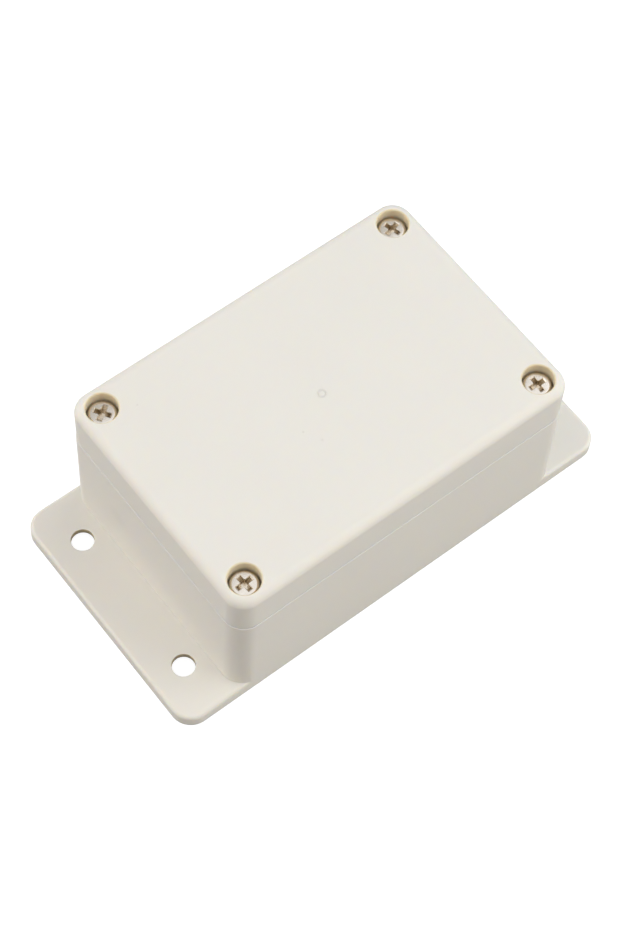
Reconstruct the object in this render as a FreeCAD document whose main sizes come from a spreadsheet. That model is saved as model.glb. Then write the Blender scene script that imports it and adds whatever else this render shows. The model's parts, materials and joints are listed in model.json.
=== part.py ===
import FreeCAD, Part
import math
import os
import Sketcher

# Flanged project box: a moulded base with two ears, a moulded lid, a sealing cord and four lid screws.
# Millimetres and degrees. The origin is at the centre of the underside, +X runs along the box from
# ear to ear, +Y across it and +Z up through the lid.

SIZES = [
    # Outside of the box, measured on the base's rim where the lid parts from it
    ("box_length", 100.0, "base over its short walls, at the rim"),
    ("box_width", 68.0, "base over its long walls, at the rim"),
    ("total_height", 47.0, "underside to lid top"),
    ("lid_height", 12.9, "rim to lid top"),
    ("corner_radius", 5.5, "upright corners of the box, at the rim"),
    ("wall_draft", 0.6, "slope of the base's outer walls, degrees"),
    ("lid_edge_radius", 2.5, "rounding of the lid's top edge"),
    ("lid_step", 0.15, "how far the lid stands in from the base's rim, on each side"),
    ("rim_edge_size", 0.25, "bevel on the base's outer rim edge"),
    # Fixing ears
    ("ear_length", 15.55, "each ear, from the box's rim to its end"),
    ("ear_thickness", 4.0, "plate that forms both ears"),
    ("ear_corner_radius", 5.5, "outer corners of the ears"),
    ("ear_edge_size", 0.65, "bevel on the ears' top edge"),
    ("ear_web_thickness", 1.8, "ears, over the hollow in their underside"),
    ("ear_rim_width", 2.0, "walls round the hollow in the ears' underside"),
    ("ear_hole_diameter", 5.8, "fixing holes"),
    ("ear_hole_inset_x", 9.1, "fixing holes, from the ear's end to the hole's axis"),
    ("ear_hole_inset_y", 13.0, "fixing holes, from the box's long side to the hole's axis"),
    # Walls
    ("wall_thickness", 2.8, "side walls at the rim"),
    ("floor_thickness", 2.6, "floor of the base"),
    ("roof_thickness", 2.6, "top of the lid"),
    ("column_radius", 5.0, "screw columns, from the screw's axis to the cavity"),
    ("cavity_radius", 2.5, "upright corners of the cavity"),
    # Mark of the mould's gate, in the middle of the lid's top
    ("gate_ring_diameter", 2.2, "ring, outside"),
    ("gate_ring_width", 0.32, "ring's groove"),
    ("gate_ring_depth", 0.1, "ring's groove"),
    # Labyrinth seal
    ("land_width", 1.5, "flat of the rim outside the tongue"),
    ("tongue_height", 1.8, "tongue that stands on the base's rim"),
    ("groove_clearance", 0.15, "between the tongue and each side of the groove"),
    ("groove_depth", 3.0, "groove in the lid, from the rim's plane"),
    ("lip_thickness", 1.1, "wall on the inner side of the groove"),
    ("seal_clearance", 0.05, "between the sealing cord and each side of the groove"),
    # Lid screws
    ("screw_inset", 6.4, "lid screws, from both sides of the box at a corner to the screw's axis"),
    ("counterbore_diameter", 8.4, "wells that the screw heads sit in"),
    ("counterbore_depth", 4.7, "wells, from the lid top to the head's seat"),
    ("screw_clearance_diameter", 4.2, "holes through the lid"),
    ("pilot_diameter", 3.0, "holes in the base's screw columns"),
    ("pilot_depth", 14.0, "holes in the base's screw columns, from the rim"),
    ("shank_clearance", 0.05, "between a screw's shank and its pilot hole, on each side"),
    ("screw_length", 18.0, "under the head"),
    ("head_diameter", 7.0, "pan head"),
    ("head_height", 2.4, "pan head"),
    ("head_side_height", 2.1, "upright side of the pan head"),
    ("head_crown_diameter", 6.4, "flat on top of the pan head"),
    ("recess_span", 4.5, "cross recess, over opposite wings"),
    ("recess_wing_width", 1.15, "cross recess, width of a wing"),
    ("recess_depth", 1.9, "cross recess"),
    ("recess_foot_span", 1.8, "cross recess, over opposite wings at its bottom"),
    ("turn_back_left", 33.0, "how far round each screw was driven, degrees"),
    ("turn_front_left", 3.4, "how far round each screw was driven, degrees"),
    ("turn_front_right", -3.6, "how far round each screw was driven, degrees"),
    ("turn_back_right", 16.0, "how far round each screw was driven, degrees"),
    # Stands for a circuit board
    ("stand_inset_x", 14.0, "board stands, from the box's short side to the stand's axis"),
    ("stand_inset_y", 16.0, "board stands, from the box's long side to the stand's axis"),
    ("stand_diameter", 6.0, "board stands"),
    ("stand_height", 5.0, "board stands, above the floor"),
    ("stand_hole_diameter", 2.5, "screw holes in the board stands"),
    ("stand_hole_depth", 5.0, "screw holes in the board stands"),
]

doc = FreeCAD.newDocument("project_box")
sheet = doc.addObject("Spreadsheet::Sheet", "Sizes")
for row, (alias, number, note) in enumerate(SIZES, start=1):
    sheet.set(f"A{row}", alias)
    sheet.set(f"B{row}", str(number))
    sheet.set(f"C{row}", note)
    sheet.setAlias(f"B{row}", alias)
doc.recompute()

# Lengths and places that follow from the driving sizes, as expressions
SEAM = "(Sizes.total_height - Sizes.lid_height)"
BASE_FLARE = f"({SEAM} * tan(Sizes.wall_draft * 1 deg))"
TONGUE_TOP = f"({SEAM} + Sizes.tongue_height)"
SEAL_HEIGHT = "(Sizes.groove_depth - Sizes.tongue_height)"
HEAD_SEAT = "(Sizes.total_height - Sizes.counterbore_depth)"
GROOVE_OUTSIDE = "(Sizes.land_width - Sizes.groove_clearance)"
GROOVE_INSIDE = "(Sizes.wall_thickness + Sizes.groove_clearance)"
LIP_INSIDE = f"({GROOVE_INSIDE} + Sizes.lip_thickness)"
SCREW_X = "(Sizes.box_length / 2 - Sizes.screw_inset)"
SCREW_Y = "(Sizes.box_width / 2 - Sizes.screw_inset)"
STAND_X = "(Sizes.box_length / 2 - Sizes.stand_inset_x)"
STAND_Y = "(Sizes.box_width / 2 - Sizes.stand_inset_y)"
EAR_END = "(Sizes.box_length / 2 + Sizes.ear_length)"
EAR_HOLE_X = f"({EAR_END} - Sizes.ear_hole_inset_x)"
EAR_HOLE_Y = "(Sizes.box_width / 2 - Sizes.ear_hole_inset_y)"


def value(expression):
    """The number that an expression on the sheet gives now."""
    result = sheet.evalExpression(expression)
    return float(getattr(result, "Value", result))


def origin_plane(body, role):
    """One of the body's own three planes."""
    return next(item for item in body.Origin.OriginFeatures if item.Role == role)


def new_body(name):
    body = doc.addObject("PartDesign::Body", name)
    body.Label = name
    return body


def new_sketch(body, name, height="0", plane="XY_Plane"):
    """A sketch on one of the body's planes, raised off it by an expression."""
    sketch = body.newObject("Sketcher::SketchObject", name)
    sketch.AttachmentSupport = (origin_plane(body, plane), [""])
    sketch.MapMode = "FlatFace"
    sketch.setExpression("AttachmentOffset.Base.z", height)
    return sketch


def drive(sketch, kind, references, expression):
    """Add a dimension whose size is an expression on the sheet."""
    index = sketch.addConstraint(Sketcher.Constraint(kind, *references, value(expression)))
    sketch.setExpression(f"Constraints[{index}]", expression)


def place_point(sketch, geometry, point, sign_x, half_x, sign_y=0, half_y=None):
    """Dimension a point from the sketch's origin, on the side that each sign gives."""
    for kind, sign, half in (("DistanceX", sign_x, half_x), ("DistanceY", sign_y, half_y)):
        if sign > 0:
            drive(sketch, kind, (-1, 1, geometry, point), half)
        if sign < 0:
            drive(sketch, kind, (geometry, point, -1, 1), half)


def vector(x, y):
    return FreeCAD.Vector(x, y, 0)


def add_arc(sketch, centre, radius, start, end):
    """Add an anticlockwise arc. Returns its number, its entry point and its exit point."""
    circle = Part.Circle(vector(*centre), FreeCAD.Vector(0, 0, 1), radius)
    return sketch.addGeometry(Part.ArcOfCircle(circle, start, end), False), 1, 2


# The four corners of the box, anticlockwise, as the signs of x and y
CORNERS = [(1, 1), (-1, 1), (-1, -1), (1, -1)]


def join_outline(sketch, chain):
    """Make each piece of a closed chain tangent to the next one, end to end."""
    for here, after in zip(chain, chain[1:] + chain[:1]):
        sketch.addConstraint(Sketcher.Constraint("Tangent", here[0], here[2], after[0], after[1]))


def close_sides(sketch, corner_chains, half_x, half_y):
    """Link four corners, each a chain of arcs, with the straight sides, and place those sides."""
    chain = []
    sides = []
    for corner, following in zip(corner_chains, corner_chains[1:] + corner_chains[:1]):
        chain += corner
        start = sketch.getPoint(corner[-1][0], corner[-1][2])
        end = sketch.getPoint(following[0][0], following[0][1])
        line = sketch.addGeometry(Part.LineSegment(start, end), False)
        sides.append(line)
        chain.append((line, 1, 2))
    join_outline(sketch, chain)
    for line, kind in zip(sides, ("Horizontal", "Vertical", "Horizontal", "Vertical")):
        sketch.addConstraint(Sketcher.Constraint(kind, line))
    place_point(sketch, sides[0], 1, 0, None, 1, half_y)
    place_point(sketch, sides[1], 1, -1, half_x)
    place_point(sketch, sides[2], 1, 0, None, -1, half_y)
    place_point(sketch, sides[3], 1, 1, half_x)


def equal_radii(sketch, arcs, radius):
    drive(sketch, "Radius", (arcs[0],), radius)
    for other in arcs[1:]:
        sketch.addConstraint(Sketcher.Constraint("Equal", arcs[0], other))


def rounded_rectangle(sketch, length, width, radius):
    """A rectangle about the origin with four equal round corners."""
    half_x, half_y = f"({length}) / 2", f"({width}) / 2"
    reach_x, reach_y = value(half_x) - value(radius), value(half_y) - value(radius)
    corners = []
    for number, (sign_x, sign_y) in enumerate(CORNERS):
        turn = number * math.pi / 2
        centre = (sign_x * reach_x, sign_y * reach_y)
        corners.append([add_arc(sketch, centre, value(radius), turn, turn + math.pi / 2)])
    close_sides(sketch, corners, half_x, half_y)
    equal_radii(sketch, [corner[0][0] for corner in corners], radius)


def seal_outline(sketch, inset):
    """The line that the seal follows, a given distance in from the base's rim.

    It runs along the walls and cuts across each corner on the inner side of the screw column.
    Outlines at other insets are parallel to this one."""
    half_x, half_y = f"(Sizes.box_length / 2 - {inset})", f"(Sizes.box_width / 2 - {inset})"
    radius = f"(Sizes.cavity_radius + Sizes.wall_thickness - {inset})"
    column = f"(Sizes.column_radius - Sizes.wall_thickness + {inset})"
    screw_x, screw_y = value(SCREW_X), value(SCREW_Y)
    reach_x, reach_y = value(half_x) - value(radius), value(half_y) - value(radius)
    # The diagonal is where |x| + |y| has one value, and the arcs' centres are where it has another
    centre_sum = screw_x + screw_y - math.sqrt(2) * (value(column) + value(radius))
    eighth = math.pi / 4
    corners = []
    arcs = []
    for number, (sign_x, sign_y) in enumerate(CORNERS):
        by_short_wall = (sign_x * reach_x, sign_y * (centre_sum - reach_x))
        by_long_wall = (sign_x * (centre_sum - reach_y), sign_y * reach_y)
        first, last = by_short_wall, by_long_wall
        if sign_x != sign_y:
            first, last = by_long_wall, by_short_wall
        turn = number * 2 * eighth
        entry = add_arc(sketch, first, value(radius), turn, turn + eighth)
        leave = add_arc(sketch, last, value(radius), turn + eighth, turn + 2 * eighth)
        ends = sketch.getPoint(entry[0], 2), sketch.getPoint(leave[0], 1)
        diagonal = sketch.addGeometry(Part.LineSegment(*ends), False)
        corners.append([entry, (diagonal, 1, 2), leave])
        arcs += [entry[0], leave[0]]
        screw = sketch.addGeometry(Part.Point(vector(sign_x * screw_x, sign_y * screw_y)), True)
        place_point(sketch, screw, 1, sign_x, SCREW_X, sign_y, SCREW_Y)
        drive(sketch, "Distance", (screw, 1, diagonal), column)
    close_sides(sketch, corners, half_x, half_y)
    for number, corner in enumerate(corners):
        heading = math.remainder((3 + 2 * number) * eighth, 8 * eighth)
        sketch.addConstraint(Sketcher.Constraint("Angle", corner[1][0], heading))
    equal_radii(sketch, arcs, radius)


def four_circles(sketch, diameter, half_x, half_y):
    """Equal circles, one towards each corner of the box, off the origin by half their pitch."""
    circles = []
    for sign_x, sign_y in CORNERS:
        centre = vector(sign_x * value(half_x), sign_y * value(half_y))
        circle = Part.Circle(centre, FreeCAD.Vector(0, 0, 1), value(diameter) / 2)
        circles.append(sketch.addGeometry(circle, False))
        place_point(sketch, circles[-1], 3, sign_x, half_x, sign_y, half_y)
    drive(sketch, "Diameter", (circles[0],), diameter)
    for other in circles[1:]:
        sketch.addConstraint(Sketcher.Constraint("Equal", circles[0], other))


def ring(sketch, diameter, width):
    """A ring about the sketch's origin, by its outer diameter and its width."""
    for size in (diameter, f"({diameter} - 2 * {width})"):
        circle = Part.Circle(vector(0, 0), FreeCAD.Vector(0, 0, 1), value(size) / 2)
        number = sketch.addGeometry(circle, False)
        sketch.addConstraint(Sketcher.Constraint("Coincident", number, 3, -1, 1))
        drive(sketch, "Diameter", (number,), size)


def extrude(body, kind, name, sketch, length, taper=None, upwards=True):
    """A Pad or Pocket of a sketch, along +Z or -Z, with sides that lean by the taper."""
    feature = body.newObject(f"PartDesign::{kind}", name)
    feature.Profile = sketch
    feature.setExpression("Length", length)
    if taper:
        feature.setExpression("TaperAngle", taper)
    feature.Reversed = upwards == (kind == "Pocket")
    sketch.Visibility = False
    doc.recompute()
    return feature


def lies_at(edge, height):
    """True for an edge that lies flat at the height."""
    box = edge.BoundBox
    return abs(box.ZMin - height) < 1e-4 and abs(box.ZMax - height) < 1e-4


def edge_names(feature, height):
    """Names of the feature's edges that lie flat at the height."""
    edges = enumerate(feature.Shape.Edges, start=1)
    return [f"Edge{number}" for number, edge in edges if lies_at(edge, height)]


def round_edges(body, name, feature, height, radius):
    """A Fillet along the feature's edges that lie flat at the height."""
    fillet = body.newObject("PartDesign::Fillet", name)
    fillet.Base = (feature, edge_names(feature, height))
    fillet.setExpression("Radius", radius)
    doc.recompute()


def bevel_edges(body, name, feature, height, size):
    """A Chamfer along the feature's edges that lie flat at the height."""
    chamfer = body.newObject("PartDesign::Chamfer", name)
    chamfer.Base = (feature, edge_names(feature, height))
    chamfer.setExpression("Size", size)
    doc.recompute()


def make_base():
    """The base: drafted walls on a plate that forms both ears, a tongue and four screw columns."""
    body = new_body("base")
    foot_length = f"Sizes.box_length + 2 * {BASE_FLARE}"
    foot_width = f"Sizes.box_width + 2 * {BASE_FLARE}"

    # The plate's upright sides meet the leaning walls at its top, and lie inside them below that
    plate_width = f"{foot_width} - 2 * Sizes.ear_thickness * tan(Sizes.wall_draft * 1 deg)"
    plate_sketch = new_sketch(body, "ear_plate_sketch")
    rounded_rectangle(plate_sketch, f"2 * {EAR_END}", plate_width, "Sizes.ear_corner_radius")
    plate = extrude(body, "Pad", "ear_plate", plate_sketch, "Sizes.ear_thickness")
    bevel_edges(body, "ear_edge", plate, value("Sizes.ear_thickness"), "Sizes.ear_edge_size")

    # One hollow under the whole plate. The walls fill its middle, which leaves the part under each ear
    hollow_sketch = new_sketch(body, "ear_hollow_sketch")
    rounded_rectangle(
        hollow_sketch,
        f"2 * ({EAR_END} - Sizes.ear_rim_width)",
        f"{plate_width} - 2 * Sizes.ear_rim_width",
        "Sizes.ear_corner_radius - Sizes.ear_rim_width",
    )
    hollow_depth = "Sizes.ear_thickness - Sizes.ear_web_thickness"
    extrude(body, "Pocket", "ear_hollow", hollow_sketch, hollow_depth)

    wall_sketch = new_sketch(body, "wall_sketch")
    rounded_rectangle(wall_sketch, foot_length, foot_width, f"Sizes.corner_radius + {BASE_FLARE}")
    walls = extrude(body, "Pad", "walls", wall_sketch, SEAM, "-Sizes.wall_draft")
    bevel_edges(body, "rim_edge", walls, value(SEAM), "Sizes.rim_edge_size")

    tongue_sketch = new_sketch(body, "tongue_sketch", SEAM)
    seal_outline(tongue_sketch, "Sizes.land_width")
    extrude(body, "Pad", "tongue", tongue_sketch, "Sizes.tongue_height")

    cavity_sketch = new_sketch(body, "cavity_sketch", TONGUE_TOP)
    seal_outline(cavity_sketch, "Sizes.wall_thickness")
    extrude(body, "Pocket", "cavity", cavity_sketch, f"{TONGUE_TOP} - Sizes.floor_thickness", upwards=False)

    stand_sketch = new_sketch(body, "stand_sketch", "Sizes.floor_thickness")
    four_circles(stand_sketch, "Sizes.stand_diameter", STAND_X, STAND_Y)
    extrude(body, "Pad", "stands", stand_sketch, "Sizes.stand_height")
    stand_hole_sketch = new_sketch(body, "stand_hole_sketch", "Sizes.floor_thickness + Sizes.stand_height")
    four_circles(stand_hole_sketch, "Sizes.stand_hole_diameter", STAND_X, STAND_Y)
    extrude(body, "Pocket", "stand_holes", stand_hole_sketch, "Sizes.stand_hole_depth", upwards=False)

    pilot_sketch = new_sketch(body, "pilot_sketch", SEAM)
    four_circles(pilot_sketch, "Sizes.pilot_diameter", SCREW_X, SCREW_Y)
    extrude(body, "Pocket", "pilot_holes", pilot_sketch, "Sizes.pilot_depth", upwards=False)

    hole_sketch = new_sketch(body, "ear_hole_sketch", "Sizes.ear_thickness")
    four_circles(hole_sketch, "Sizes.ear_hole_diameter", EAR_HOLE_X, EAR_HOLE_Y)
    body.Tip = extrude(body, "Pocket", "ear_holes", hole_sketch, "Sizes.ear_thickness", upwards=False)
    return body


def make_lid():
    """The lid: a cap with four screw wells, a groove for the seal with a lip inside it, and the gate's mark."""
    body = new_body("lid")
    outline_sketch = new_sketch(body, "lid_outline_sketch", SEAM)
    rounded_rectangle(
        outline_sketch,
        "Sizes.box_length - 2 * Sizes.lid_step",
        "Sizes.box_width - 2 * Sizes.lid_step",
        "Sizes.corner_radius - Sizes.lid_step",
    )
    block = extrude(body, "Pad", "lid_block", outline_sketch, "Sizes.lid_height")
    round_edges(body, "lid_edge", block, value("Sizes.total_height"), "Sizes.lid_edge_radius")

    hollow_sketch = new_sketch(body, "lid_hollow_sketch", SEAM)
    seal_outline(hollow_sketch, LIP_INSIDE)
    hollow_depth = "Sizes.lid_height - Sizes.roof_thickness"
    extrude(body, "Pocket", "lid_hollow", hollow_sketch, hollow_depth)

    groove_sketch = new_sketch(body, "groove_sketch", SEAM)
    seal_outline(groove_sketch, GROOVE_OUTSIDE)
    seal_outline(groove_sketch, GROOVE_INSIDE)
    extrude(body, "Pocket", "groove", groove_sketch, "Sizes.groove_depth")

    clearance_sketch = new_sketch(body, "clearance_sketch", SEAM)
    four_circles(clearance_sketch, "Sizes.screw_clearance_diameter", SCREW_X, SCREW_Y)
    extrude(body, "Pocket", "clearance_holes", clearance_sketch, "Sizes.lid_height")
    well_sketch = new_sketch(body, "well_sketch", "Sizes.total_height")
    four_circles(well_sketch, "Sizes.counterbore_diameter", SCREW_X, SCREW_Y)
    extrude(body, "Pocket", "wells", well_sketch, "Sizes.counterbore_depth", upwards=False)

    gate_sketch = new_sketch(body, "gate_sketch", "Sizes.total_height")
    ring(gate_sketch, "Sizes.gate_ring_diameter", "Sizes.gate_ring_width")
    body.Tip = extrude(body, "Pocket", "gate_ring", gate_sketch, "Sizes.gate_ring_depth", upwards=False)
    return body


def make_seal():
    """The sealing cord, which lies on the tongue and fills the rest of the lid's groove."""
    body = new_body("seal")
    sketch = new_sketch(body, "seal_sketch", f"{SEAM} + Sizes.tongue_height")
    seal_outline(sketch, f"({GROOVE_OUTSIDE} + Sizes.seal_clearance)")
    seal_outline(sketch, f"({GROOVE_INSIDE} - Sizes.seal_clearance)")
    body.Tip = extrude(body, "Pad", "seal_cord", sketch, SEAL_HEIGHT)
    return body


def closed_profile(sketch, points):
    """A closed outline of straight lines through points, each a pair of expressions.

    A point on an axis has the plain text 0 there."""
    spots = [vector(value(x), value(y)) for x, y in points]
    lines = [
        sketch.addGeometry(Part.LineSegment(here, after), False)
        for here, after in zip(spots, spots[1:] + spots[:1])
    ]
    for here, after in zip(lines, lines[1:] + lines[:1]):
        sketch.addConstraint(Sketcher.Constraint("Coincident", here, 2, after, 1))
    for line, (x, y) in zip(lines, points):
        for kind, expression, axis in (("DistanceX", x, -2), ("DistanceY", y, -1)):
            if expression == "0":
                sketch.addConstraint(Sketcher.Constraint("PointOnObject", line, 1, axis))
            elif value(expression) > 0:
                drive(sketch, kind, (-1, 1, line, 1), expression)
            else:
                drive(sketch, kind, (line, 1, -1, 1), f"-({expression})")
    return lines


def make_screw(name, sign_x, sign_y):
    """One pan head lid screw with a cross recess, driven home in the well at its corner."""
    body = new_body(name)
    shank = "(Sizes.pilot_diameter / 2 - Sizes.shank_clearance)"
    profile = new_sketch(body, f"{name}_profile", plane="XZ_Plane")
    closed_profile(
        profile,
        [
            ("0", "-Sizes.screw_length"),
            (shank, "-Sizes.screw_length"),
            (shank, "0"),
            ("Sizes.head_diameter / 2", "0"),
            ("Sizes.head_diameter / 2", "Sizes.head_side_height"),
            ("Sizes.head_crown_diameter / 2", "Sizes.head_height"),
            ("0", "Sizes.head_height"),
        ],
    )
    turned = body.newObject("PartDesign::Revolution", f"{name}_turned")
    turned.Profile = profile
    turned.ReferenceAxis = (profile, ["V_Axis"])
    turned.Angle = 360
    profile.Visibility = False
    doc.recompute()

    wing_sketch = new_sketch(body, f"{name}_wing_sketch", plane="XZ_Plane")
    closed_profile(
        wing_sketch,
        [
            ("-Sizes.recess_span / 2", "Sizes.head_height"),
            ("-Sizes.recess_foot_span / 2", "Sizes.head_height - Sizes.recess_depth"),
            ("Sizes.recess_foot_span / 2", "Sizes.head_height - Sizes.recess_depth"),
            ("Sizes.recess_span / 2", "Sizes.head_height"),
        ],
    )
    wing = body.newObject("PartDesign::Pocket", f"{name}_wing")
    wing.Profile = wing_sketch
    wing.Midplane = True
    wing.setExpression("Length", "Sizes.recess_wing_width")
    wing_sketch.Visibility = False
    doc.recompute()

    cross = body.newObject("PartDesign::PolarPattern", f"{name}_cross")
    cross.Originals = [wing]
    cross.Axis = (profile, ["V_Axis"])
    cross.Angle = 90
    cross.Occurrences = 2
    body.Tip = cross

    corner = ("back" if sign_y > 0 else "front") + "_" + ("right" if sign_x > 0 else "left")
    body.setExpression("Placement.Base.x", f"{sign_x} * {SCREW_X}")
    body.setExpression("Placement.Base.y", f"{sign_y} * {SCREW_Y}")
    body.setExpression("Placement.Base.z", HEAD_SEAT)
    body.setExpression("Placement.Rotation.Angle", f"Sizes.turn_{corner}")
    doc.recompute()
    return body


def build():
    """Make every piece of the box."""
    pieces = [make_base(), make_lid(), make_seal()]
    for sign_x, sign_y in CORNERS:
        side = "back" if sign_y > 0 else "front"
        end = "right" if sign_x > 0 else "left"
        pieces.append(make_screw(f"lid_screw_{side}_{end}", sign_x, sign_y))
    return pieces


pieces = build()
for item in doc.Objects:
    if "Invalid" in item.State or "Error" in item.State:
        raise RuntimeError(f"{item.Label} didn't build")
for piece in pieces:
    if piece.Shape.isNull() or not piece.Shape.isValid() or len(piece.Shape.Solids) != 1:
        raise RuntimeError(f"{piece.Label} isn't one sound solid")
os.makedirs("parts", exist_ok=True)
for piece in pieces:
    piece.Shape.exportStep(f"parts/{piece.Label}.step")
    print(piece.Label, round(piece.Shape.Volume, 1), "cubic millimetres")
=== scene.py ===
import json
import math

import bmesh
import bpy
from mathutils import Matrix, Quaternion, Vector


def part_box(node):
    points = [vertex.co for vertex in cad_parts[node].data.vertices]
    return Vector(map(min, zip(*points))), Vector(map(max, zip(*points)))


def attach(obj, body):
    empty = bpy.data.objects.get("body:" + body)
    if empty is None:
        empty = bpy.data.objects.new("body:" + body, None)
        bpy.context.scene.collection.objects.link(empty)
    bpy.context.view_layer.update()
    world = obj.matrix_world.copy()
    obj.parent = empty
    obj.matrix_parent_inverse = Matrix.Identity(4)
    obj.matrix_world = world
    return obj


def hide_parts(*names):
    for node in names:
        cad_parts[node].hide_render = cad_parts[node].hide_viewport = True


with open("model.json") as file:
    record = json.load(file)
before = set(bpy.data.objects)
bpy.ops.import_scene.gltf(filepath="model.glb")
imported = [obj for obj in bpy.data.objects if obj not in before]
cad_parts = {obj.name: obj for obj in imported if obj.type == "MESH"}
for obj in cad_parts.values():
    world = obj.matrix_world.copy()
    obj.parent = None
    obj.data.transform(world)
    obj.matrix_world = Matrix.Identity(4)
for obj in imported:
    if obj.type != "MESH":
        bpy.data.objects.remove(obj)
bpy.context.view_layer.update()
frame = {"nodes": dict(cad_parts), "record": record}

# Flanged project box in ivory plastic. Metres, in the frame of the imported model: the origin is at the
# centre of the underside, +X runs from ear to ear, +Y across the box and +Z up through the lid.

MM = 0.001

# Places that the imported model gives
base_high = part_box("base")[1]
lid_low, lid_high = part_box("lid")
RIM = lid_low.z
TOP = lid_high.z
TONGUE_TOP = base_high.z

mounts = {mount["name"]: mount for mount in frame["record"]["mounts"]}
fixing_holes = mounts["fixing_holes"]["dims"]
HOLE_X = fixing_holes["spacing_x_mm"] / 2 * MM
HOLE_Y = fixing_holes["spacing_y_mm"] / 2 * MM
HOLE_RADIUS = fixing_holes["hole_r_mm"] * MM
board_stands = mounts["board_stands"]["dims"]
STAND_X = board_stands["spacing_x_mm"] / 2 * MM
STAND_Y = board_stands["spacing_y_mm"] / 2 * MM
STAND_BORE = board_stands["hole_r_mm"] * MM
STAND_TOP = mounts["board_stands"]["pos_m"][2]

screw_nodes = sorted(name for name in frame["nodes"] if name.startswith("lid_screw"))
screw_boxes = [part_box(node) for node in screw_nodes]
screw_places = [((low.x + high.x) / 2, (low.y + high.y) / 2) for low, high in screw_boxes]
SCREW_X = max(x for x, y in screw_places)
SCREW_Y = max(y for x, y in screw_places)

# Outside of the box
BOX_HALF_X = 50.0 * MM
BOX_HALF_Y = 34.0 * MM
CORNER_RADIUS = 5.5 * MM
CORNER_STEPS = 16
DRAFT = math.tan(math.radians(0.6))
RIM_EDGE = 0.25 * MM
RIM_EDGE_STEPS = 4
LID_EDGE_RADIUS = 2.5 * MM
LID_EDGE_STEPS = 12
LID_FOOT_EDGE = 0.04 * MM
UNDER_EDGE = 0.20 * MM
SMALL_EDGE_STEPS = 2

# Ears, which are the two ends of one plate
EAR_THICKNESS = 4.0 * MM
EAR_WEB = 1.8 * MM
EAR_RIM_WIDTH = 2.0 * MM
EAR_EDGE_RADIUS = 1.0 * MM
EAR_EDGE_STEPS = 6
EAR_HOLE_LIP = 0.15 * MM
EAR_PLATE_INSET = 0.01 * MM

# Walls, seal and board stands
WALL = 2.8 * MM
FLOOR = 2.6 * MM
ROOF = 2.6 * MM
COLUMN_RADIUS = 5.0 * MM
CAVITY_RADIUS = 2.5 * MM
CAVITY_STEPS = 4
LAND = 1.5 * MM
GROOVE_CLEARANCE = 0.15 * MM
GROOVE_DEPTH = 3.0 * MM
LIP = 1.1 * MM
STAND_RADIUS = 3.0 * MM

# Wells and holes for the screws
WELL_RADIUS = 3.95 * MM
WELL_DEPTH = 4.7 * MM
WELL_LIP = 0.45 * MM
CLEARANCE_RADIUS = 2.1 * MM
PILOT_RADIUS = 1.5 * MM
PILOT_DEPTH = 14.0 * MM

# Pan head screws
HEAD_RADIUS = 3.5 * MM
HEAD_HEIGHT = 2.4 * MM
HEAD_SHOULDER = 0.75 * MM
HEAD_SHOULDER_STEPS = 6
HEAD_FOOT_EDGE = 0.12 * MM
CORE_RADIUS = 1.15 * MM
THREAD_RADIUS = 1.45 * MM
THREAD_FOOT_RADIUS = 1.1155 * MM
THREAD_WIDTH = 0.616 * MM
THREAD_PITCH = 1.1 * MM
THREAD_STEPS = 24
NECK = 1.6 * MM
NECK_STRAIGHT = 0.96 * MM
POINT = 1.2 * MM
POINT_RADIUS = 0.4025 * MM

# Cross recess of the screws, at the head's face and at its foot
RECESS_SPAN = 4.4 * MM
RECESS_FOOT_SPAN = 1.8 * MM
RECESS_WING = 1.15 * MM
RECESS_FOOT_WING = 0.80 * MM
RECESS_MIDDLE = 1.05 * MM
RECESS_FOOT_MIDDLE = 0.60 * MM
RECESS_MIDDLE_STEPS = 16
RECESS_DEPTH = 1.9 * MM
RECESS_EDGE = 0.12 * MM
RECESS_PROUD = 0.3
SCREW_TURN = {"back_left": 33.0, "front_left": 3.4, "front_right": -3.6, "back_right": 16.0}

# Small ring that the mould left in the middle of the lid: radius and height above the lid
MOULD_RING = [
    (0.50 * MM, 0.15 * MM),
    (0.68 * MM, -0.06 * MM),
    (0.80 * MM, -0.12 * MM),
    (1.00 * MM, -0.12 * MM),
    (1.12 * MM, -0.06 * MM),
    (1.30 * MM, 0.15 * MM),
]

# Turned shapes, and the rounded lips of holes: steps, slope at the face in degrees, and run past it in radii
ROUND_STEPS = 72
LIP_STEPS = 5
LIP_LEAN = 10
LIP_RUN = 5

# How far a tool runs past a face, when two heights count as one, and the turn that leaves an edge
PAST = 1.0 * MM
SAME_HEIGHT = 1e-7
SHARP_DEGREES = 35


def kept(name, bm):
    """A new object of the finished bmesh."""
    mesh = bpy.data.meshes.new(name)
    bm.to_mesh(mesh)
    bm.free()
    piece = bpy.data.objects.new(name, mesh)
    bpy.context.scene.collection.objects.link(piece)
    return piece


def combine(body, operation, tool_bm):
    """Unite a tool with the body, or cut the body with it. The tool is used up."""
    tool = kept("tool", tool_bm)
    step = body.modifiers.new("step", "BOOLEAN")
    step.operation = operation
    step.solver = "MANIFOLD"
    step.object = tool
    graph = bpy.context.evaluated_depsgraph_get()
    body.data = bpy.data.meshes.new_from_object(body.evaluated_get(graph))
    body.modifiers.clear()
    bpy.data.objects.remove(tool)


def cut(body, tool_bm):
    combine(body, "DIFFERENCE", tool_bm)


def add(body, tool_bm):
    combine(body, "UNION", tool_bm)


def four_places(x, y):
    """The same place in each quarter of the box."""
    return [(x, y), (-x, y), (-x, -y), (x, -y)]


def upright_edges(bm):
    return [edge for edge in bm.edges if abs(edge.verts[0].co.z - edge.verts[1].co.z) > SAME_HEIGHT]


def level_edges(bm, height):
    """Edges that lie flat at the height, round the outside."""
    return [edge for edge in bm.edges if all(abs(vert.co.z - height) < SAME_HEIGHT for vert in edge.verts)]


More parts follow.
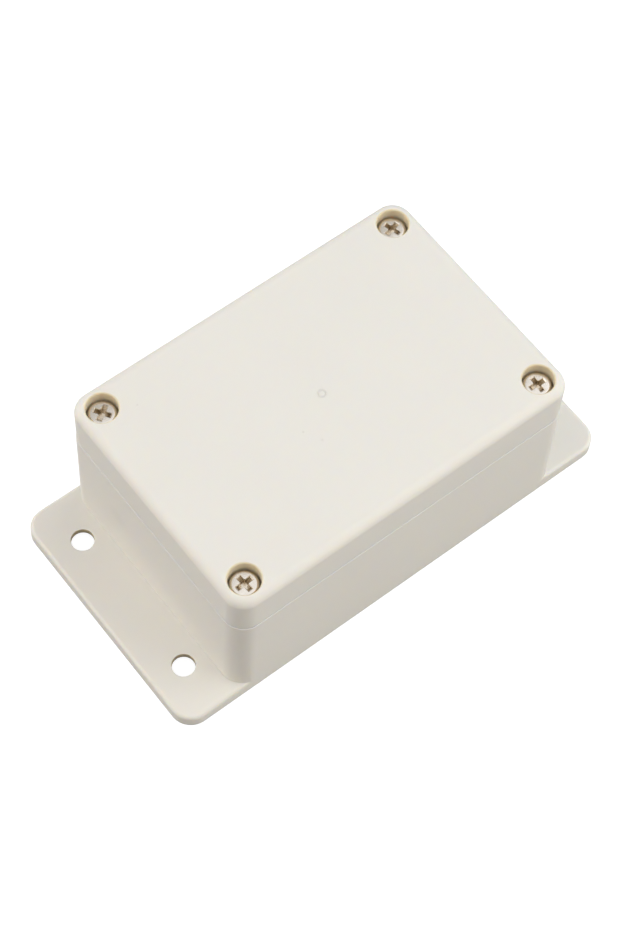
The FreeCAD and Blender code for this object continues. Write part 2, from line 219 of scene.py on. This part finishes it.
def round_off(bm, edges, size, steps):
    bmesh.ops.bevel(
        bm, geom=edges, offset=size, segments=steps, profile=0.5, affect="EDGES", material=-1
    )


def plain_block(half_x, half_y, low, high):
    bm = bmesh.new()
    stretch = Matrix.Diagonal((2 * half_x, 2 * half_y, high - low, 1))
    bmesh.ops.create_cube(bm, size=1, matrix=Matrix.Translation((0, 0, (low + high) / 2)) @ stretch)
    return bm


def round_block(half_x, half_y, radius, low, high):
    """A block about the Z axis with round upright corners."""
    bm = plain_block(half_x, half_y, low, high)
    round_off(bm, upright_edges(bm), radius, CORNER_STEPS)
    return bm


def spread(bm, height, half_x, half_y, radius, distance):
    """Move the outline of a round block outwards at one height, for the draft of its walls."""
    for vert in bm.verts:
        if abs(vert.co.z - height) < SAME_HEIGHT:
            corner_x = math.copysign(half_x - radius, vert.co.x)
            corner_y = math.copysign(half_y - radius, vert.co.y)
            outwards = (vert.co.xy - Vector((corner_x, corner_y))).normalized()
            vert.co.xy += outwards * distance


def seal_block(inset, low, high):
    """A block inside the line that the seal follows, which cuts off each corner past the screw column."""
    half_x = BOX_HALF_X - inset
    half_y = BOX_HALF_Y - inset
    diagonal = SCREW_X + SCREW_Y - math.sqrt(2) * (COLUMN_RADIUS - WALL + inset)
    bm = plain_block(half_x, half_y, low, high)
    round_off(bm, upright_edges(bm), half_x + half_y - diagonal, 1)
    bend_radius = CAVITY_RADIUS + WALL - inset
    round_off(bm, upright_edges(bm), bend_radius * math.tan(math.pi / 8), CAVITY_STEPS)
    return bm


def turned(profile, centre=(0, 0), closed=False, steps=ROUND_STEPS):
    """A turned shape: a profile of (radius, height) points, spun about an upright axis."""
    bm = bmesh.new()
    x, y = centre
    verts = [bm.verts.new((x + radius, y, height)) for radius, height in profile]
    ends = zip(verts, verts[1:] + verts[:1]) if closed else zip(verts, verts[1:])
    edges = [bm.edges.new(pair) for pair in ends]
    bmesh.ops.spin(
        bm,
        geom=verts + edges,
        cent=(x, y, 0),
        axis=(0, 0, 1),
        angle=2 * math.pi,
        steps=steps,
        use_merge=True,
    )
    bmesh.ops.remove_doubles(bm, verts=bm.verts, dist=0.001 * MM)
    bmesh.ops.recalc_face_normals(bm, faces=bm.faces)
    return bm


def arc(centre, radius, start, end, steps):
    """Points along an arc of a profile, by angles in degrees."""
    angles = [math.radians(start + (end - start) * step / steps) for step in range(steps + 1)]
    return [(centre[0] + radius * math.cos(a), centre[1] + radius * math.sin(a)) for a in angles]


def mouth(radius, lip, top):
    """The top end of a hole's profile: a rounded lip that leaves the face at a slight angle."""
    rounding = arc((radius + lip, top - lip), lip, 180, 90 + LIP_LEAN, LIP_STEPS)
    lean = math.radians(LIP_LEAN)
    end_x, end_z = rounding[-1]
    past_x = end_x + LIP_RUN * lip * math.cos(lean)
    past_z = end_z + LIP_RUN * lip * math.sin(lean)
    return [*rounding, (past_x, past_z), (past_x, top + PAST), (0, top + PAST)]


def rod(radius, low, high, centre):
    """A plain cylinder."""
    return turned([(0, low), (radius, low), (radius, high), (0, high)], centre)


def smooth(piece):
    """Smooth shading that keeps flat faces flat, with an edge wherever the surface turns sharply."""
    for face in piece.data.polygons:
        face.use_smooth = True
    piece.data.set_sharp_from_angle(angle=math.radians(SHARP_DEGREES))
    flatten = piece.modifiers.new("flat_faces_stay_flat", "WEIGHTED_NORMAL")
    flatten.keep_sharp = True
    flatten.weight = 100


def finish_piece(piece, material, slot, *nodes):
    """Give a piece its material, let it stand for its nodes and ride on the box."""
    piece.data.materials.clear()
    piece.data.materials.append(material)
    smooth(piece)
    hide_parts(*nodes)
    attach(piece, "root")


def make_lid():
    """The lid, with its wells, its groove for the seal and the small ring that the mould left on top."""
    half_x, half_y = lid_high.x, lid_high.y
    radius = CORNER_RADIUS - (BOX_HALF_X - half_x)
    bm = round_block(half_x, half_y, radius, RIM, TOP)
    round_off(bm, level_edges(bm, TOP), LID_EDGE_RADIUS, LID_EDGE_STEPS)
    round_off(bm, level_edges(bm, RIM), LID_FOOT_EDGE, SMALL_EDGE_STEPS)
    lid = kept("moulded_lid", bm)

    inside = WALL + GROOVE_CLEARANCE
    cut(lid, seal_block(LAND - GROOVE_CLEARANCE, RIM - PAST, RIM + GROOVE_DEPTH))
    add(lid, seal_block(inside, RIM, RIM + GROOVE_DEPTH + PAST))
    cut(lid, seal_block(inside + LIP, RIM - PAST, TOP - ROOF))

    seat = TOP - WELL_DEPTH
    for place in screw_places:
        cut(lid, turned([(0, seat), (WELL_RADIUS, seat), *mouth(WELL_RADIUS, WELL_LIP, TOP)], place))
        cut(lid, rod(CLEARANCE_RADIUS, RIM - PAST, seat + PAST, place))
    cut(lid, turned([(radius, TOP + height) for radius, height in MOULD_RING], closed=True))
    return lid


def make_base():
    """The base, with both ears, the tongue, the screw columns and the board stands."""
    # The plate's long sides stay a hair inside the foot of the walls
    plate_x, plate_y = base_high.x, base_high.y - EAR_PLATE_INSET
    bm = round_block(plate_x, plate_y, CORNER_RADIUS, 0, EAR_THICKNESS)
    spread(bm, EAR_THICKNESS, plate_x, plate_y, CORNER_RADIUS, -EAR_THICKNESS * DRAFT)
    round_off(bm, level_edges(bm, EAR_THICKNESS), EAR_EDGE_RADIUS, EAR_EDGE_STEPS)
    round_off(bm, level_edges(bm, 0), UNDER_EDGE, SMALL_EDGE_STEPS)
    base = kept("moulded_base", bm)
    under_web = EAR_THICKNESS - EAR_WEB
    hollow_x, hollow_y = plate_x - EAR_RIM_WIDTH, plate_y - EAR_RIM_WIDTH
    cut(base, round_block(hollow_x, hollow_y, CORNER_RADIUS - EAR_RIM_WIDTH, -PAST, under_web))

    bm = round_block(BOX_HALF_X, BOX_HALF_Y, CORNER_RADIUS, 0, RIM)
    spread(bm, 0, BOX_HALF_X, BOX_HALF_Y, CORNER_RADIUS, RIM * DRAFT)
    round_off(bm, level_edges(bm, RIM), RIM_EDGE, RIM_EDGE_STEPS)
    round_off(bm, level_edges(bm, 0), UNDER_EDGE, SMALL_EDGE_STEPS)
    add(base, bm)
    add(base, seal_block(LAND, RIM - PAST, TONGUE_TOP))
    cut(base, seal_block(WALL, FLOOR, TONGUE_TOP + PAST))

    for place in four_places(STAND_X, STAND_Y):
        add(base, rod(STAND_RADIUS, FLOOR - PAST, STAND_TOP, place))
        cut(base, rod(STAND_BORE, FLOOR, STAND_TOP + PAST, place))
    for place in screw_places:
        cut(base, rod(PILOT_RADIUS, RIM - PILOT_DEPTH, RIM + PAST, place))
    foot = [(radius, under_web - height) for radius, height in reversed(mouth(HOLE_RADIUS, EAR_HOLE_LIP, 0))]
    for place in four_places(HOLE_X, HOLE_Y):
        cut(base, turned([*foot, *mouth(HOLE_RADIUS, EAR_HOLE_LIP, EAR_THICKNESS)], place))
    return base


def recess_wings(span, width, foot_span, foot_width, depth):
    """The tool for two opposite wings of a cross, narrower at its foot. It starts a little proud."""
    bm = bmesh.new()
    bmesh.ops.create_cube(bm, size=1)
    past = depth * RECESS_PROUD
    slope = (span - foot_span) / depth
    lean = (width - foot_width) / depth
    for vert in bm.verts:
        if vert.co.z > 0:
            vert.co = (vert.co.x * (span + slope * past), vert.co.y * (width + lean * past), past)
        else:
            vert.co = (vert.co.x * foot_span, vert.co.y * foot_width, -depth)
    return bm


def cut_recess(screw, centre, top, turn):
    """The cross in a screw's head: a round middle, two pairs of wings, and a worn edge round the wings."""
    steep = (RECESS_MIDDLE - RECESS_FOOT_MIDDLE) / RECESS_DEPTH
    middle = [
        (0, top - RECESS_DEPTH),
        (RECESS_FOOT_MIDDLE, top - RECESS_DEPTH),
        (RECESS_MIDDLE + steep * PAST, top + PAST),
        (0, top + PAST),
    ]
    cut(screw, turned(middle, centre, steps=RECESS_MIDDLE_STEPS))
    worn = 2 * RECESS_EDGE
    wings = (RECESS_SPAN, RECESS_WING, RECESS_FOOT_SPAN, RECESS_FOOT_WING, RECESS_DEPTH)
    worn_edge = (RECESS_SPAN + worn, RECESS_WING + worn, RECESS_SPAN - worn, RECESS_WING - worn, worn)
    for shape in (wings, worn_edge):
        for quarter_turn in (0, math.pi / 2):
            tool = recess_wings(*shape)
            round_axis = Matrix.Rotation(turn + quarter_turn, 4, "Z")
            tool.transform(Matrix.Translation((*centre, top)) @ round_axis)
            cut(screw, tool)


def spun_thread(centre, start, end):
    """The ridge of a screw's thread, wound from its point up to its neck."""
    bm = bmesh.new()
    ridge = [(THREAD_FOOT_RADIUS, 0), (THREAD_RADIUS, THREAD_WIDTH / 2), (THREAD_FOOT_RADIUS, THREAD_WIDTH)]
    verts = [bm.verts.new((centre[0] + radius, centre[1], start + height)) for radius, height in ridge]
    steps = int((end - start) / THREAD_PITCH * THREAD_STEPS)
    bmesh.ops.spin(
        bm,
        geom=[bm.faces.new(verts)],
        cent=(*centre, 0),
        axis=(0, 0, 1),
        dvec=(0, 0, THREAD_PITCH / THREAD_STEPS),
        angle=2 * math.pi * steps / THREAD_STEPS,
        steps=steps,
        use_duplicate=False,
    )
    bmesh.ops.recalc_face_normals(bm, faces=bm.faces)
    return bm


def make_screw(node, centre, turn):
    """One screw where its node is, with its cross turned as it was driven."""
    low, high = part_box(node)
    seat = high.z - HEAD_HEIGHT
    shoulder_centre = (HEAD_RADIUS - HEAD_SHOULDER, high.z - HEAD_SHOULDER)
    profile = [
        (0, low.z),
        (POINT_RADIUS, low.z),
        (CORE_RADIUS, low.z + POINT),
        (CORE_RADIUS, seat - NECK),
        (THREAD_RADIUS, seat - NECK_STRAIGHT),
        (THREAD_RADIUS, seat),
        (HEAD_RADIUS - HEAD_FOOT_EDGE, seat),
        (HEAD_RADIUS, seat + HEAD_FOOT_EDGE),
        *arc(shoulder_centre, HEAD_SHOULDER, 0, 90, HEAD_SHOULDER_STEPS),
        (0, high.z),
    ]
    screw = kept(f"turned_{node}", turned(profile, centre))
    cut_recess(screw, centre, high.z, turn)
    with_thread = spun_thread(centre, low.z + POINT, seat - NECK)
    with_thread.from_mesh(screw.data)
    with_thread.to_mesh(screw.data)
    with_thread.free()
    return screw


# Colours
IVORY = (0.780, 0.752, 0.695)
IVORY_DRIFT = 0.015
# Painted shade: tan on the walls of the wells, where little light reaches
WELL_SHADE_TAN = (0.740, 0.650, 0.475)
# Painted shade: brown on the walls of the ear holes
HOLE_SHADE_BROWN = (0.50, 0.42, 0.28)
# Colour of the small dark marks, and of the painted shade along the mould's ring
MARK_AND_SHADE_BROWN = (0.32, 0.27, 0.20)
STEEL = (0.77, 0.72, 0.65)
TARNISH = (0.66, 0.59, 0.50)
# Darker, browner colour deep in the screws' recesses
RECESS_DEEP_BROWN = (0.66, 0.58, 0.47)
RUBBER = (0.03, 0.03, 0.03)
RUBBER_BLOOM = (0.06, 0.06, 0.058)

# Where the painted shade begins: tan in the wells and brown in the holes
WELL_SHADE_EDGE = 0.30 * MM
WELL_SHADE_BELOW = 0.05 * MM
HOLE_SHADE_EDGE = 0.10 * MM

# Depths below the head's face between which the recess turns darker and browner
DARKER_FROM = 0.15 * MM
DARKEST_AT = 0.90 * MM

# How deep the fine patterns go into a surface
PATTERN_DEPTH = 0.02 * MM

# Faint painted shade along the mould's ring, where its groove lies: radius, reach to either side and
# strength
MOULD_RING_SHADE = (0.95 * MM, 0.60 * MM, 0.12)

# Small dark marks on the lid and the walls: place, reach and strength
MARKS = [
    ((-0.00985, -0.00559, 0.0470), 0.45 * MM, 0.18),
    ((-0.00761, -0.00991, 0.0470), 0.60 * MM, 0.12),
    ((-0.0365, 0.02334, 0.0470), 0.45 * MM, 0.14),
    ((-0.04851, -0.03380, 0.0280), 0.50 * MM, 0.40),
    ((-0.0502, 0.0140, 0.0201), 5.00 * MM, 0.06),
]


def opaque(colour, factor=1):
    """A colour for a socket, darker or lighter by the factor."""
    return (*(channel * factor for channel in colour), 1)


def feed(tree, socket, value):
    """Give a socket a number, a colour or the output of another node."""
    if isinstance(value, bpy.types.NodeSocket):
        tree.links.new(value, socket)
    else:
        socket.default_value = value


def maths(tree, operation, *values):
    """The result of a Math node, each value a number or an output."""
    node = tree.nodes.new("ShaderNodeMath")
    node.operation = operation
    for socket, value in zip(node.inputs, values):
        feed(tree, socket, value)
    return node.outputs["Value"]


def vector_maths(tree, operation, *values):
    """The result of a Vector Math node: a vector, or a number for a length or a distance."""
    node = tree.nodes.new("ShaderNodeVectorMath")
    node.operation = operation
    for socket, value in zip(node.inputs, values):
        feed(tree, socket, value)
    return node.outputs["Value" if operation in ("LENGTH", "DISTANCE") else "Vector"]


def on_object(tree):
    """Coordinates of the piece in metres."""
    return tree.nodes.new("ShaderNodeTexCoord").outputs["Object"]


def level(tree, vector):
    """Coordinates with their height left out."""
    return vector_maths(tree, "MULTIPLY", vector, (1, 1, 0))


def height_of(tree, vector):
    split = tree.nodes.new("ShaderNodeSeparateXYZ")
    tree.links.new(vector, split.inputs["Vector"])
    return split.outputs["Z"]


def cloud(tree, size, detail):
    """A soft noise over the piece."""
    node = tree.nodes.new("ShaderNodeTexNoise")
    node.inputs["Detail"].default_value = detail
    feed(tree, node.inputs["Vector"], on_object(tree))
    feed(tree, node.inputs["Scale"], size)
    return node.outputs["Fac"]


def mixed(tree, mask, first, second):
    """The first colour, turned to the second where the mask is 1."""
    node = tree.nodes.new("ShaderNodeMix")
    node.data_type = "RGBA"
    feed(tree, node.inputs["Factor"], mask)
    feed(tree, node.inputs["A"], first)
    feed(tree, node.inputs["B"], second)
    return node.outputs["Result"]


def fade(tree, distance, reach, strength):
    """A mask that falls smoothly from its strength, at no distance, to nothing at its reach."""
    node = tree.nodes.new("ShaderNodeMapRange")
    node.interpolation_type = "SMOOTHSTEP"
    node.inputs["From Max"].default_value = reach
    node.inputs["To Min"].default_value = strength
    node.inputs["To Max"].default_value = 0
    tree.links.new(distance, node.inputs["Value"])
    return node.outputs["Result"]


def spot(tree, place, reach, strength):
    """A mask round a point."""
    return fade(tree, vector_maths(tree, "DISTANCE", on_object(tree), place), reach, strength)


def ring_shade(tree, radius, reach, strength):
    """A mask along a ring about the middle of the lid, for painted shade."""
    from_middle = vector_maths(tree, "DISTANCE", on_object(tree), (0, 0, TOP))
    off_ring = maths(tree, "ABSOLUTE", maths(tree, "SUBTRACT", from_middle, radius))
    return fade(tree, off_ring, reach, strength)


def new_group(name, **sockets):
    """A node group for a surface effect, with its inputs and outputs."""
    group = bpy.data.node_groups.new(name, "ShaderNodeTree")
    for label, (side, kind) in sockets.items():
        group.interface.new_socket(label, in_out=side, socket_type=f"NodeSocket{kind}")
    return group, group.nodes.new("NodeGroupInput"), group.nodes.new("NodeGroupOutput")


def make_fine_grain():
    """The fine grain of a moulded surface, as a height for Bump."""
    group, given, out = new_group("fine_grain", Size=("INPUT", "Float"), Height=("OUTPUT", "Float"))
    group.links.new(cloud(group, given.outputs["Size"], 2), out.inputs["Height"])
    return group


def make_uneven_tone():
    """A colour that drifts between two tones over the surface."""
    group, given, out = new_group(
        "uneven_tone",
        Size=("INPUT", "Float"),
        First=("INPUT", "Color"),
        Second=("INPUT", "Color"),
        Color=("OUTPUT", "Color"),
    )
    drift = cloud(group, given.outputs["Size"], 4)
    tone = mixed(group, drift, given.outputs["First"], given.outputs["Second"])
    group.links.new(tone, out.inputs["Color"])
    return group


def make_inside_bore():
    """A mask that is 1 inside four upright bores at (+-X, +-Y), above their floor, and 0 outside."""
    group, given, out = new_group(
        "inside_bore",
        Centre=("INPUT", "Vector"),
        Radius=("INPUT", "Float"),
        Softness=("INPUT", "Float"),
        Floor=("INPUT", "Float"),
        Mask=("OUTPUT", "Float"),
    )
    place = on_object(group)
    folded = vector_maths(group, "ABSOLUTE", place)
    from_axis = vector_maths(group, "SUBTRACT", folded, given.outputs["Centre"])
    distance = vector_maths(group, "LENGTH", level(group, from_axis))
    inwards = maths(group, "SUBTRACT", given.outputs["Radius"], distance)
    within = maths(group, "DIVIDE", inwards, given.outputs["Softness"])
    within.node.use_clamp = True
    above = maths(group, "GREATER_THAN", height_of(group, place), given.outputs["Floor"])
    group.links.new(maths(group, "MULTIPLY", within, above), out.inputs["Mask"])
    return group


def placed(tree, group, output, **values):
    """The output of the group, placed in a material with its own values."""
    node = tree.nodes.new("ShaderNodeGroup")
    node.node_tree = group
    for label, value in values.items():
        node.inputs[label].default_value = value
    return node.outputs[output]


def new_material(name):
    material = bpy.data.materials.new(name)
    material.use_nodes = True
    return material, material.node_tree, material.node_tree.nodes["Principled BSDF"]


def raise_surface(tree, shader, height, strength):
    """Let a pattern of heights show in the surface."""
    bump = tree.nodes.new("ShaderNodeBump")
    bump.inputs["Strength"].default_value = strength
    bump.inputs["Distance"].default_value = PATTERN_DEPTH
    tree.links.new(height, bump.inputs["Height"])
    tree.links.new(bump.outputs["Normal"], shader.inputs["Normal"])


def make_ivory(fine_grain, uneven_tone, inside_bore):
    """Satin moulded plastic that lets a little light in, with shade painted into its wells, its holes and
    the mould's ring.
    """
    material, tree, shader = new_material("ivory_plastic")
    darker, lighter = opaque(IVORY, 1 - IVORY_DRIFT), opaque(IVORY, 1 + IVORY_DRIFT)
    colour = placed(tree, uneven_tone, "Color", Size=45, First=darker, Second=lighter)
    # Painted shade: the walls of the wells turn tan
    wells = placed(
        tree,
        inside_bore,
        "Mask",
        Centre=(SCREW_X, SCREW_Y, 0),
        Radius=WELL_RADIUS + WELL_LIP,
        Softness=WELL_SHADE_EDGE,
        Floor=TOP - WELL_DEPTH - WELL_SHADE_BELOW,
    )
    colour = mixed(tree, wells, colour, opaque(WELL_SHADE_TAN))
    # Painted shade: the walls of the ear holes turn brown
    holes = placed(
        tree,
        inside_bore,
        "Mask",
        Centre=(HOLE_X, HOLE_Y, 0),
        Radius=HOLE_RADIUS + HOLE_SHADE_EDGE,
        Softness=HOLE_SHADE_EDGE,
        Floor=0,
    )
    colour = mixed(tree, holes, colour, opaque(HOLE_SHADE_BROWN))
    # Small dark marks, then painted shade along the mould's ring
    for mask in [*(spot(tree, *mark) for mark in MARKS), ring_shade(tree, *MOULD_RING_SHADE)]:
        colour = mixed(tree, mask, colour, opaque(MARK_AND_SHADE_BROWN))
    tree.links.new(colour, shader.inputs["Base Color"])
    raise_surface(tree, shader, placed(tree, fine_grain, "Height", Size=3500), 0.15)
    shader.inputs["Roughness"].default_value = 0.48
    shader.inputs["IOR"].default_value = 1.5
    shader.inputs["Specular IOR Level"].default_value = 0.25
    shader.inputs["Subsurface Weight"].default_value = 0.5
    shader.inputs["Subsurface Radius"].default_value = (1.0, 0.75, 0.4)
    shader.inputs["Subsurface Scale"].default_value = 2.0 * MM
    return material


def make_steel(name, centre, head_top, uneven_tone):
    """Bright plated steel with turning rings about the screw's axis, darker and browner deeper in the
    recess.
    """
    material, tree, shader = new_material(name)
    place = on_object(tree)
    about_axis = tree.nodes.new("ShaderNodeMapping")
    about_axis.inputs["Location"].default_value = (-centre[0], -centre[1], 0)
    tree.links.new(place, about_axis.inputs["Vector"])
    from_axis = about_axis.outputs["Vector"]

    rings = tree.nodes.new("ShaderNodeTexWave")
    rings.wave_type = "RINGS"
    rings.rings_direction = "Z"
    rings.inputs["Scale"].default_value = 700
    rings.inputs["Distortion"].default_value = 0.6
    tree.links.new(from_axis, rings.inputs["Vector"])
    raise_surface(tree, shader, rings.outputs["Fac"], 0.15)

    # The recess turns darker and browner with depth
    depth = tree.nodes.new("ShaderNodeMapRange")
    depth.inputs["From Min"].default_value = head_top - DARKER_FROM
    depth.inputs["From Max"].default_value = head_top - DARKEST_AT
    tree.links.new(height_of(tree, place), depth.inputs["Value"])
    distance = vector_maths(tree, "LENGTH", level(tree, from_axis))
    inside_shoulder = maths(tree, "LESS_THAN", distance, HEAD_RADIUS - HEAD_SHOULDER)
    deep_tone = maths(tree, "MULTIPLY", depth.outputs["Result"], inside_shoulder)
    tone = placed(tree, uneven_tone, "Color", Size=900, First=opaque(STEEL), Second=opaque(TARNISH))
    tree.links.new(mixed(tree, deep_tone, tone, opaque(RECESS_DEEP_BROWN)), shader.inputs["Base Color"])
    shader.inputs["Metallic"].default_value = 1
    shader.inputs["Roughness"].default_value = 0.25
    return material


def make_seal_rubber(fine_grain, uneven_tone):
    """Soft black cord with a faint grey bloom."""
    material, tree, shader = new_material("seal_rubber")
    tone = placed(tree, uneven_tone, "Color", Size=1500, First=opaque(RUBBER), Second=opaque(RUBBER_BLOOM))
    tree.links.new(tone, shader.inputs["Base Color"])
    raise_surface(tree, shader, placed(tree, fine_grain, "Height", Size=2500), 0.3)
    shader.inputs["Roughness"].default_value = 0.7
    return material


# Studio: the camera, and how the white floor and backdrop show to it, in gloss and as light
EYE = Vector((-183.441, -205.453, 520.430)) * MM
AIM = Vector((-4.259, -2.676, 20.0)) * MM
ROLL = math.radians(4.152)
LENS = 90.065
MIDDLE = (0, 0, 0.03)
WHITE_SEEN = 0.94
FLOOR_IN_GLOSS = 0.35
FLOOR_GREY = (0.25, 0.25, 0.25)
FLOOR_HALF_SIZE = 2.5
FLOOR_DROP = 0.05 * MM
BACKDROP_IN_GLOSS = 0.12
BACKDROP_LIGHT = 0.015


def make_camera():
    camera = bpy.data.objects.new("camera", bpy.data.cameras.new("camera"))
    bpy.context.scene.collection.objects.link(camera)
    camera.data.lens = LENS
    camera.data.sensor_width = 36
    camera.data.clip_start = 0.01
    camera.location = EYE
    camera.rotation_mode = "QUATERNION"
    camera.rotation_quaternion = (AIM - EYE).to_track_quat("-Z", "Y") @ Quaternion((0, 0, 1), ROLL)
    bpy.context.scene.camera = camera


def make_softbox(name, place, target, width, height, power, colour=(1, 1, 1)):
    """A rectangular lamp that faces a point."""
    light = bpy.data.lights.new(name, "AREA")
    light.shape = "RECTANGLE"
    light.size = width
    light.size_y = height
    light.energy = power
    light.color = colour
    lamp = bpy.data.objects.new(name, light)
    bpy.context.scene.collection.objects.link(lamp)
    lamp.location = place
    lamp.rotation_mode = "QUATERNION"
    lamp.rotation_quaternion = (Vector(target) - Vector(place)).to_track_quat("-Z", "Y")


def make_floor():
    """A pale floor that looks white to the camera and keeps the shadow."""
    bm = bmesh.new()
    bmesh.ops.create_grid(bm, x_segments=1, y_segments=1, size=FLOOR_HALF_SIZE)
    floor = kept("floor", bm)
    floor.location.z = -FLOOR_DROP
    material, tree, shader = new_material("floor_paper")
    shader.inputs["Base Color"].default_value = opaque(FLOOR_GREY)
    shader.inputs["Roughness"].default_value = 0.9
    path = tree.nodes.new("ShaderNodeLightPath")
    in_gloss = maths(tree, "MULTIPLY", path.outputs["Is Glossy Ray"], FLOOR_IN_GLOSS)
    lift = maths(tree, "MULTIPLY_ADD", path.outputs["Is Camera Ray"], WHITE_SEEN, in_gloss)
    shader.inputs["Emission Color"].default_value = (1, 1, 1, 1)
    tree.links.new(lift, shader.inputs["Emission Strength"])
    floor.data.materials.append(material)


def make_backdrop():
    """White behind the object for the camera, dimmer in gloss, and almost no light of its own."""
    world = bpy.data.worlds.new("studio")
    bpy.context.scene.world = world
    world.use_nodes = True
    tree = world.node_tree
    backdrop = tree.nodes["Background"]
    backdrop.inputs["Color"].default_value = (1, 1, 1, 1)
    path = tree.nodes.new("ShaderNodeLightPath")
    unseen = maths(tree, "MULTIPLY_ADD", path.outputs["Is Glossy Ray"], BACKDROP_IN_GLOSS, BACKDROP_LIGHT)
    seen = maths(tree, "MULTIPLY_ADD", path.outputs["Is Camera Ray"], WHITE_SEEN - BACKDROP_LIGHT, unseen)
    tree.links.new(seen, backdrop.inputs["Strength"])


def light_studio():
    make_softbox("overhead", (0.10, -0.15, 0.80), (0.10, -0.15, 0), 1.2, 1.0, 2.45, (0.880, 0.920, 1.0))
    make_softbox("ceiling", (0, 0, 1.0), MIDDLE, 1.8, 1.8, 5.00)
    make_softbox("left_back", (-0.62, 0.66, 0.40), MIDDLE, 1.5, 0.8, 8.80, (1.0, 0.975, 0.937))
    make_softbox("right_end", (0.85, -0.27, 0.56), MIDDLE, 1.9, 1.1, 6.60, (0.892, 0.963, 1.0))
    make_softbox("right_high", (0.50, -0.50, 0.65), MIDDLE, 0.6, 0.6, 0.75)
    make_softbox("right_front", (0.45, -0.82, 0.30), MIDDLE, 1.5, 0.6, 4.05, (1.0, 0.940, 0.845))
    make_softbox("near_corner", (-0.60, -0.65, 0.40), MIDDLE, 0.9, 0.7, 1.45, (1.0, 0.885, 0.750))


make_camera()
make_backdrop()
make_floor()
light_studio()

fine_grain = make_fine_grain()
uneven_tone = make_uneven_tone()
ivory = make_ivory(fine_grain, uneven_tone, make_inside_bore())
finish_piece(make_lid(), ivory, "housing", "lid")
finish_piece(make_base(), ivory, "housing", "base")
for node, place in zip(screw_nodes, screw_places):
    corner = node.removeprefix("lid_screw_")
    steel = make_steel(f"plated_steel_{corner}", place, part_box(node)[1].z, uneven_tone)
    screw = make_screw(node, place, math.radians(SCREW_TURN[corner]))
    finish_piece(screw, steel, "screw_steel", node)
seal = frame["nodes"]["seal"]
seal.material_slots[0].material = make_seal_rubber(fine_grain, uneven_tone)

bpy.context.scene.view_settings.view_transform = "Standard"
